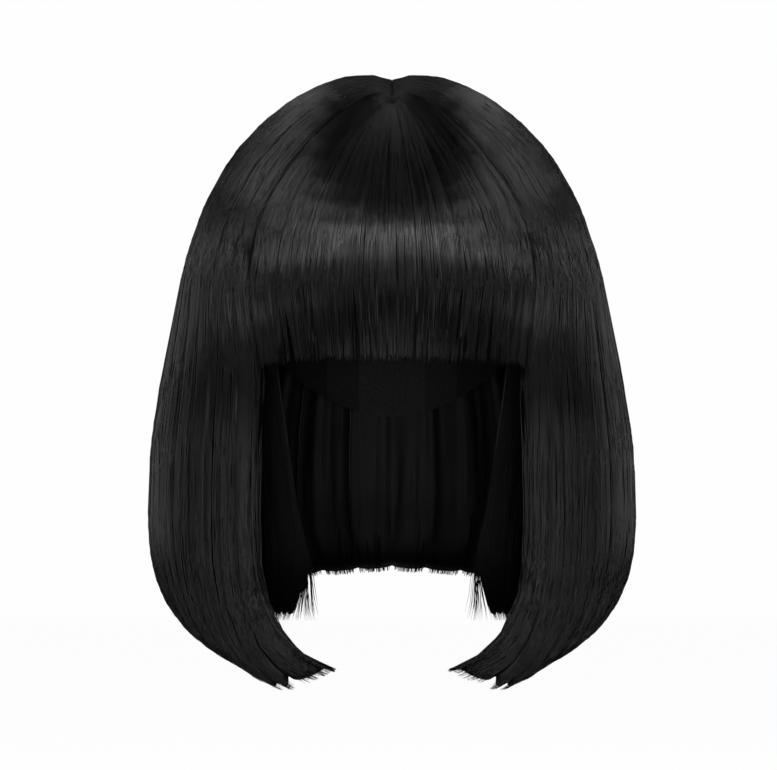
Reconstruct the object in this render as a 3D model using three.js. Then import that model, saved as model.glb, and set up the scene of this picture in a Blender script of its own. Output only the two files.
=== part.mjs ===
// A bob wig with a blunt fringe: locks of hair on a thin cap, in the form it keeps when it is worn.
//
// Lengths are in millimetres and angles in degrees. +Z is up, the wig faces -Y, +X is at the right of someone
// who looks at its front, and the origin is the inside top of the cap, where it sits on the head.
// An angle round the wig is 0 at the front, 90 at the right, -90 at the left and 180 at the back.
// A level is 0 at the parting, 1 where the bob is widest and 2 at the curled tips.
import * as THREE from 'three';

// The cap, which follows the head.
const capHalfWidth = 76;
const capHalfLength = 97;
const capDomeHeight = 95;
const capWall = 1.5;
const capDropFront = 58;
const capDropSide = 112;
const capDropNape = 160;

// The hair's outer form, measured from the outside of the cap or down from the top of the crown.
const topLoft = 10.5;
const sideLoft = 44.5;
const frontLoft = 15.5;
const backLoft = 19.5;
const widestDrop = 217.5;
const fringeDrop = 142.5;
const fringeCornerDrop = 4.5;
const frontDrop = 305.5;
const backDrop = 250;

// The hair's own thickness, its locks and the seams between the pieces.
const hairWall = 12;
const tipWall = 3.5;
const lockDepth = 2.2;
const tipNotch = 4;
const sideSeamAngle = 118;
const seatGap = 0.8;
const seamGap = 0.4;
const curlSharpness = 1.25;

// The walls go straight down up to the first of these levels and are square to the surface from the second.
const straightLevel = 0.05;
const squareLevel = 0.45;

// The parting strip that shows between the two halves of the crown.
const partingSink = 0.8;
const partingFrontAngle = 34;
const partingBackAngle = 150;

// The inner side layers, which hang from the cap behind the front edges.
const innerWall = 3;
const innerTopDrop = 85;
const innerHemDrop = 260;
const innerFrontAngle = 47;
const innerBackAngle = 124;

// How finely the pieces are divided.
const backLockCount = 12;
const curlSteps = 5;
const capColumns = 28;
const capRows = 9;
const capRowGrowth = 1.5;
const partingSteps = 12;
const innerColumns = 9;
const fringeRowsShare = 0.8;
const slopeStep = 0.01;
const halvings = 40;

const hairTop = capWall + topLoft;
const hairHalfWidth = capHalfWidth + capWall + sideLoft;
const frontDepth = capHalfLength + capWall + frontLoft;
const backDepth = capHalfLength + capWall + backLoft;

// Evenly spaced levels from the parting to the widest part. side, front and back are shares of the half-width
// and of the two depths, and the drops are shares of widestDrop.
const SECTIONS = [
  { side: 0.025, sideDrop: 0.011, front: 0.44, frontDrop: 0.058, back: 0.32, backDrop: 0.041 },
  { side: 0.082, sideDrop: 0.002, front: 0.48, frontDrop: 0.063, back: 0.39, backDrop: 0.044 },
  { side: 0.172, sideDrop: 0.004, front: 0.54, frontDrop: 0.078, back: 0.475, backDrop: 0.055 },
  { side: 0.279, sideDrop: 0.021, front: 0.615, frontDrop: 0.108, back: 0.576, backDrop: 0.083 },
  { side: 0.396, sideDrop: 0.053, front: 0.702, frontDrop: 0.15, back: 0.678, backDrop: 0.124 },
  { side: 0.512, sideDrop: 0.101, front: 0.79, frontDrop: 0.202, back: 0.78, backDrop: 0.184 },
  { side: 0.635, sideDrop: 0.172, front: 0.868, frontDrop: 0.267, back: 0.873, backDrop: 0.262 },
  { side: 0.738, sideDrop: 0.264, front: 0.934, frontDrop: 0.34, back: 0.941, backDrop: 0.354 },
  { side: 0.81, sideDrop: 0.356, front: 0.978, frontDrop: 0.428, back: 0.983, backDrop: 0.451 },
  { side: 0.869, sideDrop: 0.474, front: 1, frontDrop: 0.529, back: 1, backDrop: 0.561 },
  { side: 0.918, sideDrop: 0.616, front: 0.996, frontDrop: 0.657, back: 1, backDrop: 0.653 },
  { side: 0.963, sideDrop: 0.749, front: 0.982, frontDrop: 0.772, back: 0.998, backDrop: 0.726 },
  { side: 0.992, sideDrop: 0.878, front: 0.965, frontDrop: 0.887, back: 0.995, backDrop: 0.795 },
  { side: 1, sideDrop: 1, front: 0.947, frontDrop: 1, back: 0.99, backDrop: 0.86 },
];

// The same levels again. edge is the angle where the side hair meets the fringe, wall is a share of hairWall
// and groove a share of lockDepth.
const LAYERS = [
  { edge: 30, wall: 1, groove: 0 },
  { edge: 32, wall: 1, groove: 0.2 },
  { edge: 35, wall: 1, groove: 0.4 },
  { edge: 38, wall: 1, groove: 0.6 },
  { edge: 40, wall: 1, groove: 0.8 },
  { edge: 42, wall: 1, groove: 1 },
  { edge: 43.5, wall: 1, groove: 1 },
  { edge: 45.5, wall: 1, groove: 1 },
  { edge: 46, wall: 0.97, groove: 1 },
  { edge: 44, wall: 0.93, groove: 1 },
  { edge: 37.5, wall: 0.88, groove: 1 },
  { edge: 35, wall: 0.83, groove: 1 },
  { edge: 34.2, wall: 0.79, groove: 1 },
  { edge: 34, wall: 0.75, groove: 1 },
];

// Where the curled tips end, by angle. side is a share of the half-width, and depth one of the front or back
// depth, negative behind the middle. fall goes from backDrop at 0 to frontDrop at 1, and curl is how far the
// tip has turned from hanging straight down.
const HEM = [
  { angle: 34, side: 0.213, depth: 0.72, fall: 0.81, curl: 80 },
  { angle: 38, side: 0.344, depth: 0.7, fall: 0.94, curl: 80 },
  { angle: 46, side: 0.43, depth: 0.62, fall: 1, curl: 78 },
  { angle: 60, side: 0.576, depth: 0.42, fall: 0.855, curl: 75 },
  { angle: 75, side: 0.7, depth: 0.228, fall: 0.705, curl: 69 },
  { angle: 90, side: 0.768, depth: 0, fall: 0.575, curl: 65 },
  { angle: 118, side: 0.695, depth: -0.373, fall: 0.31, curl: 59 },
  { angle: 150, side: 0.4, depth: -0.71, fall: 0.07, curl: 54 },
  { angle: 180, side: 0, depth: -0.85, fall: 0, curl: 52 },
];

// The fringe's locks from left to right: where each one starts as a share of the width, and how deep the gap
// in the hem is there, as a share of fringeDrop.
const FRINGE_LOCKS = [
  { start: 0, gap: 0 },
  { start: 0.12, gap: 0.14 },
  { start: 0.23, gap: 0.035 },
  { start: 0.375, gap: 0.155 },
  { start: 0.485, gap: 0.02 },
  { start: 0.6, gap: 0.05 },
  { start: 0.735, gap: 0.045 },
  { start: 0.83, gap: 0.1 },
  { start: 0.88, gap: 0.08 },
];

// The side hair's locks from the front edge to the seam at the back, as shares of the way round.
const SIDE_LOCKS = [0, 0.07, 0.13, 0.19, 0.27, 0.36, 0.47, 0.59, 0.72, 0.86];

// The inner side layer from the cap down. side and depth are shares of the cap's outer half-width and
// half-length, drop goes from innerTopDrop at 0 to innerHemDrop at 1, and edge is how far the front is drawn
// back.
const INNER_SECTIONS = [
  { side: 1, depth: 1, drop: 0, edge: 0 },
  { side: 1, depth: 1, drop: 0.17, edge: 0 },
  { side: 0.955, depth: 0.985, drop: 0.33, edge: 0 },
  { side: 0.89, depth: 0.955, drop: 0.5, edge: 0 },
  { side: 0.845, depth: 0.925, drop: 0.67, edge: -2 },
  { side: 0.815, depth: 0.9, drop: 0.82, edge: -5 },
  { side: 0.795, depth: 0.88, drop: 0.93, edge: 1 },
  { side: 0.77, depth: 0.86, drop: 1, edge: 10 },
];

// The points across one lock: where they lie between its two grooves and how far they rise out of them.
const SIDE_LOCK_POINTS = [
  { share: 0, rise: 0 },
  { share: 0.26, rise: 0.9 },
  { share: 0.74, rise: 0.9 },
];
const FRINGE_LOCK_POINTS = [
  { share: 0, rise: 0 },
  { share: 0.12, rise: 0.7 },
  { share: 0.5, rise: 1 },
  { share: 0.88, rise: 0.7 },
];

const rad = THREE.MathUtils.degToRad;
const { lerp } = THREE.MathUtils;

// A smooth curve through points that never swings past them, as a function of the first value.
function curveThrough(xs, ys) {
  const last = xs.length - 1;
  const steps = xs.slice(1).map((x, i) => (ys[i + 1] - ys[i]) / (x - xs[i]));
  const slopes = xs.map((x, i) => {
    if (i === 0) return steps[0];
    if (i === last) return steps[last - 1];
    const product = steps[i - 1] * steps[i];
    return product <= 0 ? 0 : (2 * product) / (steps[i - 1] + steps[i]);
  });
  return (x) => {
    let i = 0;
    while (i < last - 1 && x > xs[i + 1]) i += 1;
    const width = xs[i + 1] - xs[i];
    const t = THREE.MathUtils.clamp((x - xs[i]) / width, 0, 1);
    const rest = 1 - t;
    return (
      ys[i] * (1 + 2 * t) * rest * rest +
      slopes[i] * width * t * rest * rest +
      ys[i + 1] * t * t * (3 - 2 * t) -
      slopes[i + 1] * width * t * t * rest
    );
  };
}

// One smooth curve for each named column of a table.
function columnsOf(rows, places) {
  const curveOf = (name) => curveThrough(places, rows.map((row) => row[name]));
  return Object.fromEntries(Object.keys(rows[0]).map((name) => [name, curveOf(name)]));
}

const evenly = (count) => Array.from({ length: count }, (_, i) => i / (count - 1));
const sectionLevels = evenly(SECTIONS.length);
const section = { ...columnsOf(SECTIONS, sectionLevels), ...columnsOf(LAYERS, sectionLevels) };
const hem = columnsOf(HEM, HEM.map((row) => row.angle));
const innerSection = columnsOf(INNER_SECTIONS, evenly(INNER_SECTIONS.length));

// The hair's outer form down to its widest level: half-ellipses that grow out of the parting.
function crownPoint(angle, level) {
  const sine = Math.sin(rad(angle));
  const cosine = Math.cos(rad(angle));
  const isFront = cosine > 0;
  const depth = isFront ? frontDepth * section.front(level) : backDepth * section.back(level);
  const endDrop = isFront ? section.frontDrop(level) : section.backDrop(level);
  const drop = widestDrop * lerp(endDrop, section.sideDrop(level), sine * sine);
  return new THREE.Vector3(hairHalfWidth * section.side(level) * sine, -depth * cosine, hairTop - drop);
}

// The same form below the widest level, where each strand turns inwards along part of an ellipse.
function curlPoint(angle, share) {
  const start = crownPoint(angle, 1);
  const turn = Math.abs(angle);
  const reach = hem.depth(turn);
  const tip = new THREE.Vector3(
    Math.sign(angle) * hairHalfWidth * hem.side(turn),
    -(reach > 0 ? frontDepth : backDepth) * reach,
    hairTop - lerp(backDrop, frontDrop, hem.fall(turn)),
  );
  const bend = rad(hem.curl(turn));
  const inward = ((1 - Math.cos(bend * share)) / (1 - Math.cos(bend))) ** curlSharpness;
  const down = Math.sin(bend * share) / Math.sin(bend);
  return new THREE.Vector3(
    lerp(start.x, tip.x, inward),
    lerp(start.y, tip.y, inward),
    lerp(start.z, tip.z, down),
  );
}

// Angles past the back centre come round from the other side.
const wrapped = (angle) => (angle > 180 ? angle - 360 : angle);

function hairPoint(angle, level) {
  const turned = wrapped(angle);
  return level <= 1 ? crownPoint(turned, level) : curlPoint(turned, level - 1);
}

// How much larger than the outside of the cap a point's place is: 1 on it, less inside.
function capRatio(point) {
  const up = Math.max(point.z + capDomeHeight, 0) / (capDomeHeight + capWall);
  return Math.hypot(point.x / (capHalfWidth + capWall), point.y / (capHalfLength + capWall), up);
}

// The way into the hair from its outer form. Near the parting it is straight down, so that the walls of the
// left and right halves stay apart, and further out it is square to the surface.
function inwardAt(angle, level) {
  const above = hairPoint(angle, Math.max(level - slopeStep, 0));
  const along = hairPoint(angle, Math.min(level + slopeStep, 2)).sub(above);
  const round = hairPoint(angle + slopeStep, level).sub(hairPoint(angle - slopeStep, level));
  const square = round.cross(along).normalize();
  const down = new THREE.Vector3(0, 0, -1);
  const share = THREE.MathUtils.smoothstep(level, straightLevel, squareLevel);
  return down.lerp(square, share).normalize();
}

// The wall's thickness, cut short where the cap is in the way.
function wallAt(angle, level, inward) {
  const above = hairWall * section.wall(Math.min(level, 1));
  const wanted = lerp(above, tipWall, Math.max(level - 1, 0));
  const surface = hairPoint(angle, level);
  const isClear = (depth) => capRatio(surface.clone().addScaledVector(inward, depth + seatGap)) > 1;
  if (isClear(wanted)) return wanted;
  let clear = 0;
  let blocked = wanted;
  for (let i = 0; i < halvings; i += 1) {
    const middle = (clear + blocked) / 2;
    if (isClear(middle)) clear = middle;
    else blocked = middle;
  }
  return clear;
}

// A closed wall from a grid of outer points and the matching grid of inner points.
function wallGeometry(outer, inner) {
  const rows = outer.length;
  const columns = outer[0].length;
  const points = [...outer.flat(), ...inner.flat()];
  const outerAt = (row, column) => row * columns + column;
  const innerAt = (row, column) => (rows + row) * columns + column;
  const faces = [];
  const addQuad = (a, b, c, d) => faces.push(a, b, c, a, c, d);
  const lastRow = rows - 1;
  const end = columns - 1;
  for (let row = 0; row < lastRow; row += 1) {
    const next = row + 1;
    for (let column = 0; column < end; column += 1) {
      const beside = column + 1;
      addQuad(outerAt(row, column), outerAt(next, column), outerAt(next, beside), outerAt(row, beside));
      addQuad(innerAt(row, column), innerAt(row, beside), innerAt(next, beside), innerAt(next, column));
    }
    addQuad(outerAt(row, 0), innerAt(row, 0), innerAt(next, 0), outerAt(next, 0));
    addQuad(outerAt(row, end), outerAt(next, end), innerAt(next, end), innerAt(row, end));
  }
  for (let column = 0; column < end; column += 1) {
    const beside = column + 1;
    const [a, b] = [outerAt(lastRow, column), innerAt(lastRow, column)];
    addQuad(outerAt(0, column), outerAt(0, beside), innerAt(0, beside), innerAt(0, column));
    addQuad(a, b, innerAt(lastRow, beside), outerAt(lastRow, beside));
  }
  return geometryOf(points, faces);
}

// A geometry from points and triangles, with the faces turned outwards.
function geometryOf(points, faces) {
  let volume = 0;
  for (let i = 0; i < faces.length; i += 3) {
    const [a, b, c] = [points[faces[i]], points[faces[i + 1]], points[faces[i + 2]]];
    volume += a.dot(b.clone().cross(c));
  }
  const ordered = volume > 0 ? faces : faces.toReversed();
  const geometry = new THREE.BufferGeometry().setFromPoints(points);
  geometry.setIndex(ordered);
  geometry.computeVertexNormals();
  return geometry;
}

// Hair in locks. columns holds, for each line of points down the hair, how far it rises out of the grooves;
// angleOf(column, level) says where it runs and levelsOf(column) through which levels.
function hairGeometry(columns, angleOf, levelsOf) {
  const levels = columns.map((column) => levelsOf(column));
  const rowCount = levels[0].length;
  const outer = [];
  const inner = [];
  for (let row = 0; row < rowCount; row += 1) {
    outer.push([]);
    inner.push([]);
    columns.forEach((column, index) => {
      const level = levels[index][row];
      const angle = angleOf(column, level);
      const inward = inwardAt(angle, level);
      const wall = wallAt(angle, level, inward);
      const groove = lockDepth * section.groove(Math.min(level, 1)) * (1 - column.rise);
      const point = hairPoint(angle, level);
      outer[row].push(point.clone().addScaledVector(inward, Math.min(groove, wall / 2)));
      inner[row].push(point.clone().addScaledVector(inward, wall));
    });
  }
  return wallGeometry(outer, inner);
}

// The lines of points across a row of locks, which start at the given shares.
function lockColumns(starts, points) {
  const edges = [...starts, 1];
  const columns = starts.flatMap((start, lock) =>
    points.map(({ share, rise }) => ({ lock, rise, across: lerp(start, edges[lock + 1], share) })),
  );
  return [...columns, { lock: starts.length, rise: 0, across: 1 }];
}

// The angle that a seam's half gap takes up at a place on the hair.
function gapAngle(angle, level) {
  const span = hairPoint(angle + 0.5, level).distanceTo(hairPoint(angle - 0.5, level));
  return seamGap / span;
}

// The levels of the table's rows, then the steps of the curl, which ends early by a share of its way.
function hangingLevels(column) {
  const curlLength = frontDrop - widestDrop;
  const end = 1 - (tipNotch / curlLength) * (1 - column.rise);
  return [...sectionLevels, ...evenly(curlSteps + 1).slice(1).map((share) => 1 + share * end)];
}

function sideGeometry(sign) {
  const columns = lockColumns(SIDE_LOCKS, SIDE_LOCK_POINTS);
  const angleOf = ({ across }, level) => {
    const edge = section.edge(Math.min(level, 1));
    const start = edge + gapAngle(edge, level);
    const end = sideSeamAngle - gapAngle(sideSeamAngle, level);
    return sign * lerp(start, end, across);
  };
  return hairGeometry(columns, angleOf, hangingLevels);
}

function backGeometry() {
  const starts = evenly(backLockCount + 1).slice(0, -1);
  const columns = lockColumns(starts, SIDE_LOCK_POINTS);
  const angleOf = ({ across }, level) => {
    const start = sideSeamAngle + gapAngle(sideSeamAngle, level);
    return lerp(start, 360 - start, across);
  };
  return hairGeometry(columns, angleOf, hangingLevels);
}

// The level at which the hair has dropped so far, at one angle.
function levelAtDrop(angleAt, drop) {
  let above = 0;
  let below = 1;
  for (let i = 0; i < halvings; i += 1) {
    const middle = (above + below) / 2;
    if (hairTop - crownPoint(angleAt(middle), middle).z < drop) above = middle;
    else below = middle;
  }
  return above;
}

function fringeGeometry() {
  const columns = lockColumns(FRINGE_LOCKS.map((lock) => lock.start), FRINGE_LOCK_POINTS);
  const lastShared = levelAtDrop(() => 0, fringeDrop * fringeRowsShare);
  const sharedLevels = sectionLevels.filter((level) => level < lastShared);
  const angleOf = ({ across }, level) => {
    const edge = section.edge(level);
    return lerp(-1, 1, across) * (edge - gapAngle(edge, level));
  };
  const levelsOf = (column) => {
    const offCentre = Math.abs(lerp(-1, 1, column.across));
    const isBetweenLocks = column.rise === 0 && column.lock < FRINGE_LOCKS.length;
    const gap = isBetweenLocks ? FRINGE_LOCKS[column.lock].gap : 0;
    const drop = fringeDrop * (1 - gap) + fringeCornerDrop * offCentre ** 4;
    const hemLevel = levelAtDrop((level) => angleOf(column, level), drop);
    return [...sharedLevels, hemLevel];
  };
  return hairGeometry(columns, angleOf, levelsOf);
}

// The strip fills the slot that the hair leaves along the parting, from a little below its lips to the cap.
function partingGeometry() {
  const outer = [];
  const inner = [];
  for (let i = 0; i <= partingSteps; i += 1) {
    const angle = lerp(partingFrontAngle, partingBackAngle, i / partingSteps);
    const lip = crownPoint(angle, 0);
    const halfWidth = lip.x - 2 * seamGap;
    const top = [-halfWidth, halfWidth].map((x) => new THREE.Vector3(x, lip.y, lip.z - partingSink));
    const alongCap = lip.y / (capHalfLength + capWall);
    const capTop = (capDomeHeight + capWall) * Math.sqrt(1 - alongCap ** 2) - capDomeHeight;
    outer.push(top);
    inner.push(top.map((point) => new THREE.Vector3(point.x, point.y, capTop + seatGap)));
  }
  return wallGeometry(outer, inner);
}

// The cap: a dome that goes straight down below the head's widest level, with a hairline that is high in
// front, lower at the ears and lowest at the nape.
function capGeometry() {
  const points = [];
  const faces = [];
  const edgeDrop = (angle) => {
    const cosine = Math.cos(rad(angle));
    return lerp(capDropSide, cosine > 0 ? capDropFront : capDropNape, cosine * cosine);
  };
  const shellPoint = (angle, share, wall) => {
    const drop = edgeDrop(angle) * share ** capRowGrowth;
    const height = capDomeHeight + wall;
    const down = Math.min(drop, height);
    const spread = Math.sqrt(1 - (1 - down / height) ** 2);
    return new THREE.Vector3(
      (capHalfWidth + wall) * spread * Math.sin(rad(angle)),
      -(capHalfLength + wall) * spread * Math.cos(rad(angle)),
      wall - drop,
    );
  };
  [capWall, 0].forEach((wall) => {
    points.push(new THREE.Vector3(0, 0, wall));
    for (let row = 1; row <= capRows; row += 1) {
      for (let i = 0; i < capColumns; i += 1) {
        points.push(shellPoint((360 * i) / capColumns, row / capRows, wall));
      }
    }
  });
  const shellSize = 1 + capRows * capColumns;
  const at = (shell, row, i) => shell * shellSize + 1 + (row - 1) * capColumns + (i % capColumns);
  for (let i = 0; i < capColumns; i += 1) {
    faces.push(0, at(0, 1, i), at(0, 1, i + 1), shellSize, at(1, 1, i + 1), at(1, 1, i));
    for (let row = 1; row < capRows; row += 1) {
      const [a, b] = [at(0, row, i), at(0, row + 1, i)];
      const [c, d] = [at(0, row + 1, i + 1), at(0, row, i + 1)];
      const [e, f] = [at(1, row, i), at(1, row + 1, i)];
      const [g, h] = [at(1, row + 1, i + 1), at(1, row, i + 1)];
      faces.push(a, b, c, a, c, d, e, g, f, e, h, g);
    }
    const [outerA, outerB] = [at(0, capRows, i), at(0, capRows, i + 1)];
    const [innerA, innerB] = [at(1, capRows, i), at(1, capRows, i + 1)];
    faces.push(outerA, innerA, innerB, outerA, innerB, outerB);
  }
  return geometryOf(points, faces);
}

// An inner side layer, seated on the outside of the cap and drawn in to the neck.
function innerLayerGeometry(sign) {
  const rowCount = INNER_SECTIONS.length;
  const pointAt = (across, share, wall) => {
    const start = innerFrontAngle + innerSection.edge(share);
    const angle = rad(sign * lerp(start, innerBackAngle, across));
    const halfWidth = (capHalfWidth + capWall) * innerSection.side(share) + seatGap + wall;
    const halfLength = (capHalfLength + capWall) * innerSection.depth(share) + seatGap + wall;
    const drop = lerp(innerTopDrop, innerHemDrop, innerSection.drop(share));
    return new THREE.Vector3(halfWidth * Math.sin(angle), -halfLength * Math.cos(angle), -drop);
  };
  const gridFor = (wall) =>
    evenly(rowCount).map((share) => evenly(innerColumns).map((across) => pointAt(across, share, wall)));
  return wallGeometry(gridFor(innerWall), gridFor(0));
}

const hairBlack = { color: 0x141415, roughness: 0.38, metalness: 0 };
const wig = new THREE.Group();

function addPiece(name, geometry, finish) {
  const piece = new THREE.Mesh(geometry, new THREE.MeshStandardMaterial(finish));
  piece.name = name;
  wig.add(piece);
}

addPiece('cap', capGeometry(), { color: 0x1b1a1a, roughness: 0.9, metalness: 0 });
addPiece('parting', partingGeometry(), { color: 0x6d5b50, roughness: 0.7, metalness: 0 });
addPiece('fringe', fringeGeometry(), hairBlack);
addPiece('side_left', sideGeometry(-1), hairBlack);
addPiece('side_right', sideGeometry(1), hairBlack);
addPiece('back', backGeometry(), hairBlack);
addPiece('inner_left', innerLayerGeometry(-1), hairBlack);
addPiece('inner_right', innerLayerGeometry(1), hairBlack);

export default wig;
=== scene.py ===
"""A black bob wig with a blunt fringe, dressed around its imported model.

Each piece of hair is a closed body in the form of its solid, with sunk grooves between the locks, under a
layer of fine tapered strands that follow the same lines of flow from the parting to the hem. Places on the
hair are given by an angle round the wig, 0 at the front, 90 at the right and 180 at the back, and a level,
0 at the parting, 1 where the bob is widest and 2 at the curled tips. Lengths are in metres unless a name
ends in _mm.
"""

import logging
import math
from collections.abc import Callable, Sequence
from dataclasses import dataclass, fields
from enum import Enum

import bmesh
import bpy
import numpy as np
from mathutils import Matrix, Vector

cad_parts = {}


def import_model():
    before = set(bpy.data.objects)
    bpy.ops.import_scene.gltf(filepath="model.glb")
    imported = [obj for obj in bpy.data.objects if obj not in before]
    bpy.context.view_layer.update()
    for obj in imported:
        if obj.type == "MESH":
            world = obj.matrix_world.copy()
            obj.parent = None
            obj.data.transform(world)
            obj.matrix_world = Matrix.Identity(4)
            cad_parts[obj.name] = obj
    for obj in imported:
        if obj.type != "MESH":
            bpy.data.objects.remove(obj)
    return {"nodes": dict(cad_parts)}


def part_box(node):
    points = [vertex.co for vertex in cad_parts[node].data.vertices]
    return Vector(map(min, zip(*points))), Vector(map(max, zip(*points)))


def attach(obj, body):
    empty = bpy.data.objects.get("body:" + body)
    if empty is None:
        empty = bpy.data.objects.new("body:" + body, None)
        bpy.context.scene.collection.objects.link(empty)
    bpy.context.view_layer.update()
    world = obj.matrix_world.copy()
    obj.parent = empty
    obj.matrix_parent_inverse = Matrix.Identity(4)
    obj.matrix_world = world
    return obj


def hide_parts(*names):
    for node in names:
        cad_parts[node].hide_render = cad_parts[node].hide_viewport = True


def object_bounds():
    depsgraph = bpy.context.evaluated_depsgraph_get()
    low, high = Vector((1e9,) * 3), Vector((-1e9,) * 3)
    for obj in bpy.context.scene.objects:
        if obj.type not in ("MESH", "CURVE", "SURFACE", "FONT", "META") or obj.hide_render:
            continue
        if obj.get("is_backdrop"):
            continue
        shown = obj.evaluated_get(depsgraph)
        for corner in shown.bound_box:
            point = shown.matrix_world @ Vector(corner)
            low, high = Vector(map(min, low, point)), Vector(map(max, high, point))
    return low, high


LOG = logging.getLogger("bob_wig")
MM = 0.001
UV_NAME = "UVMap"
Curve = Callable[[np.ndarray], np.ndarray]


@dataclass(frozen=True)
class Section:
    """One level of the hair's outer form, as shares of the wig's sizes; edge is in degrees."""

    side: float
    side_drop: float
    front: float
    front_drop: float
    back: float
    back_drop: float
    edge: float
    wall: float
    groove: float


@dataclass(frozen=True)
class HemPoint:
    """Where the curled tips end at one angle, as shares of the wig's sizes; curl is in degrees."""

    angle: float
    side: float
    depth: float
    fall: float
    curl: float


@dataclass(frozen=True)
class InnerSection:
    """One level of an inner side layer, as shares of the cap's size; edge is in degrees."""

    side: float
    depth: float
    drop: float
    edge: float


@dataclass(frozen=True)
class Gap:
    """A gap in a hem: its place as a share of the width, and its depth and width in millimetres."""

    place: float
    depth_mm: float
    width_mm: float


SECTIONS = (
    Section(0.025, 0.011, 0.44, 0.058, 0.32, 0.041, 30, 1, 0),
    Section(0.082, 0.002, 0.48, 0.063, 0.39, 0.044, 32, 1, 0.2),
    Section(0.172, 0.004, 0.54, 0.078, 0.475, 0.055, 35, 1, 0.4),
    Section(0.279, 0.021, 0.615, 0.108, 0.576, 0.083, 38, 1, 0.6),
    Section(0.396, 0.053, 0.702, 0.15, 0.678, 0.124, 40, 1, 0.8),
    Section(0.512, 0.101, 0.79, 0.202, 0.78, 0.184, 42, 1, 1),
    Section(0.635, 0.172, 0.868, 0.267, 0.873, 0.262, 43.5, 1, 1),
    Section(0.738, 0.264, 0.934, 0.34, 0.941, 0.354, 45.5, 1, 1),
    Section(0.81, 0.356, 0.978, 0.428, 0.983, 0.451, 46, 0.97, 1),
    Section(0.869, 0.474, 1, 0.529, 1, 0.561, 44, 0.93, 1),
    Section(0.918, 0.616, 0.996, 0.657, 1, 0.653, 37.5, 0.88, 1),
    Section(0.963, 0.749, 0.982, 0.772, 0.998, 0.726, 35, 0.83, 1),
    Section(0.992, 0.878, 0.965, 0.887, 0.995, 0.795, 34.2, 0.79, 1),
    Section(1, 1, 0.947, 1, 0.99, 0.86, 34, 0.75, 1),
)

HEM = (
    HemPoint(34, 0.213, 0.72, 0.81, 80),
    HemPoint(38, 0.344, 0.7, 0.94, 80),
    HemPoint(46, 0.43, 0.62, 1, 78),
    HemPoint(60, 0.576, 0.42, 0.855, 75),
    HemPoint(75, 0.7, 0.228, 0.705, 69),
    HemPoint(90, 0.768, 0, 0.575, 65),
    HemPoint(118, 0.695, -0.373, 0.31, 59),
    HemPoint(150, 0.4, -0.71, 0.07, 54),
    HemPoint(180, 0, -0.85, 0, 52),
)

INNER_SECTIONS = (
    InnerSection(1, 1, 0, 0),
    InnerSection(1, 1, 0.17, 0),
    InnerSection(0.955, 0.985, 0.33, 0),
    InnerSection(0.89, 0.955, 0.5, 0),
    InnerSection(0.845, 0.925, 0.67, -2),
    InnerSection(0.815, 0.9, 0.82, -5),
    InnerSection(0.795, 0.88, 0.93, 1),
    InnerSection(0.77, 0.86, 1, 10),
)

SIDE_LOCKS = (0, 0.07, 0.13, 0.19, 0.27, 0.36, 0.47, 0.59, 0.72, 0.86, 1)
FRINGE_LOCKS = (0, 0.12, 0.23, 0.375, 0.485, 0.6, 0.735, 0.83, 0.88, 1)
BACK_LOCKS = tuple(lock / 12 for lock in range(13))

FRINGE_GAPS = (
    Gap(0.116, 8, 1.2),
    Gap(0.148, 20, 3.0),
    Gap(0.245, 4, 1.4),
    Gap(0.3, 3, 1.2),
    Gap(0.34, 4, 1.4),
    Gap(0.38, 22, 2.6),
    Gap(0.427, 4, 1.6),
    Gap(0.51, 2.5, 1.0),
    Gap(0.577, 8, 1.6),
    Gap(0.611, 4, 1.2),
    Gap(0.70, 4, 1.4),
    Gap(0.744, 4, 1.4),
    Gap(0.788, 15, 1.6),
    Gap(0.837, 12, 1.8),
)


def curve_through(places: Sequence[float], values: Sequence[float]) -> Curve:
    """Make a smooth curve through points that never swings past them.

    Args:
        places: Where the points lie, rising.
        values: The curve's value at each place.

    Returns:
        A function of an array of places.
    """
    xs, ys = np.asarray(places, float), np.asarray(values, float)
    steps = np.diff(ys) / np.diff(xs)
    slopes = np.concatenate([steps[:1], np.zeros(len(steps) - 1), steps[-1:]])
    product, total = steps[:-1] * steps[1:], steps[:-1] + steps[1:]
    slopes[1:-1] = np.where(product > 0, 2 * product / np.where(total == 0, 1, total), 0)

    def at(place: np.ndarray) -> np.ndarray:
        """Return the curve's values at these places."""
        i = np.clip(np.searchsorted(xs, place, side="right") - 1, 0, len(xs) - 2)
        width = xs[i + 1] - xs[i]
        share = np.clip((place - xs[i]) / width, 0, 1)
        rest = 1 - share
        held = ys[i] * (1 + 2 * share) * rest**2 + ys[i + 1] * share**2 * (3 - 2 * share)
        return held + width * share * rest * (slopes[i] * rest - slopes[i + 1] * share)

    return at


def columns_of(rows: Sequence[object], places: Sequence[float]) -> dict[str, Curve]:
    """Turn each field of a table's rows into a smooth curve over the given places."""
    names = [item.name for item in fields(rows[0])]
    return {name: curve_through(places, [getattr(row, name) for row in rows]) for name in names}


def smooth_step(value: np.ndarray, low: float, high: float) -> np.ndarray:
    """Rise smoothly from 0 at low to 1 at high."""
    share = np.clip((value - low) / (high - low), 0, 1)
    return share * share * (3 - 2 * share)


def unit(vectors: np.ndarray) -> np.ndarray:
    """Scale each vector to length 1."""
    return vectors / np.maximum(np.linalg.norm(vectors, axis=-1, keepdims=True), 1e-12)


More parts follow.
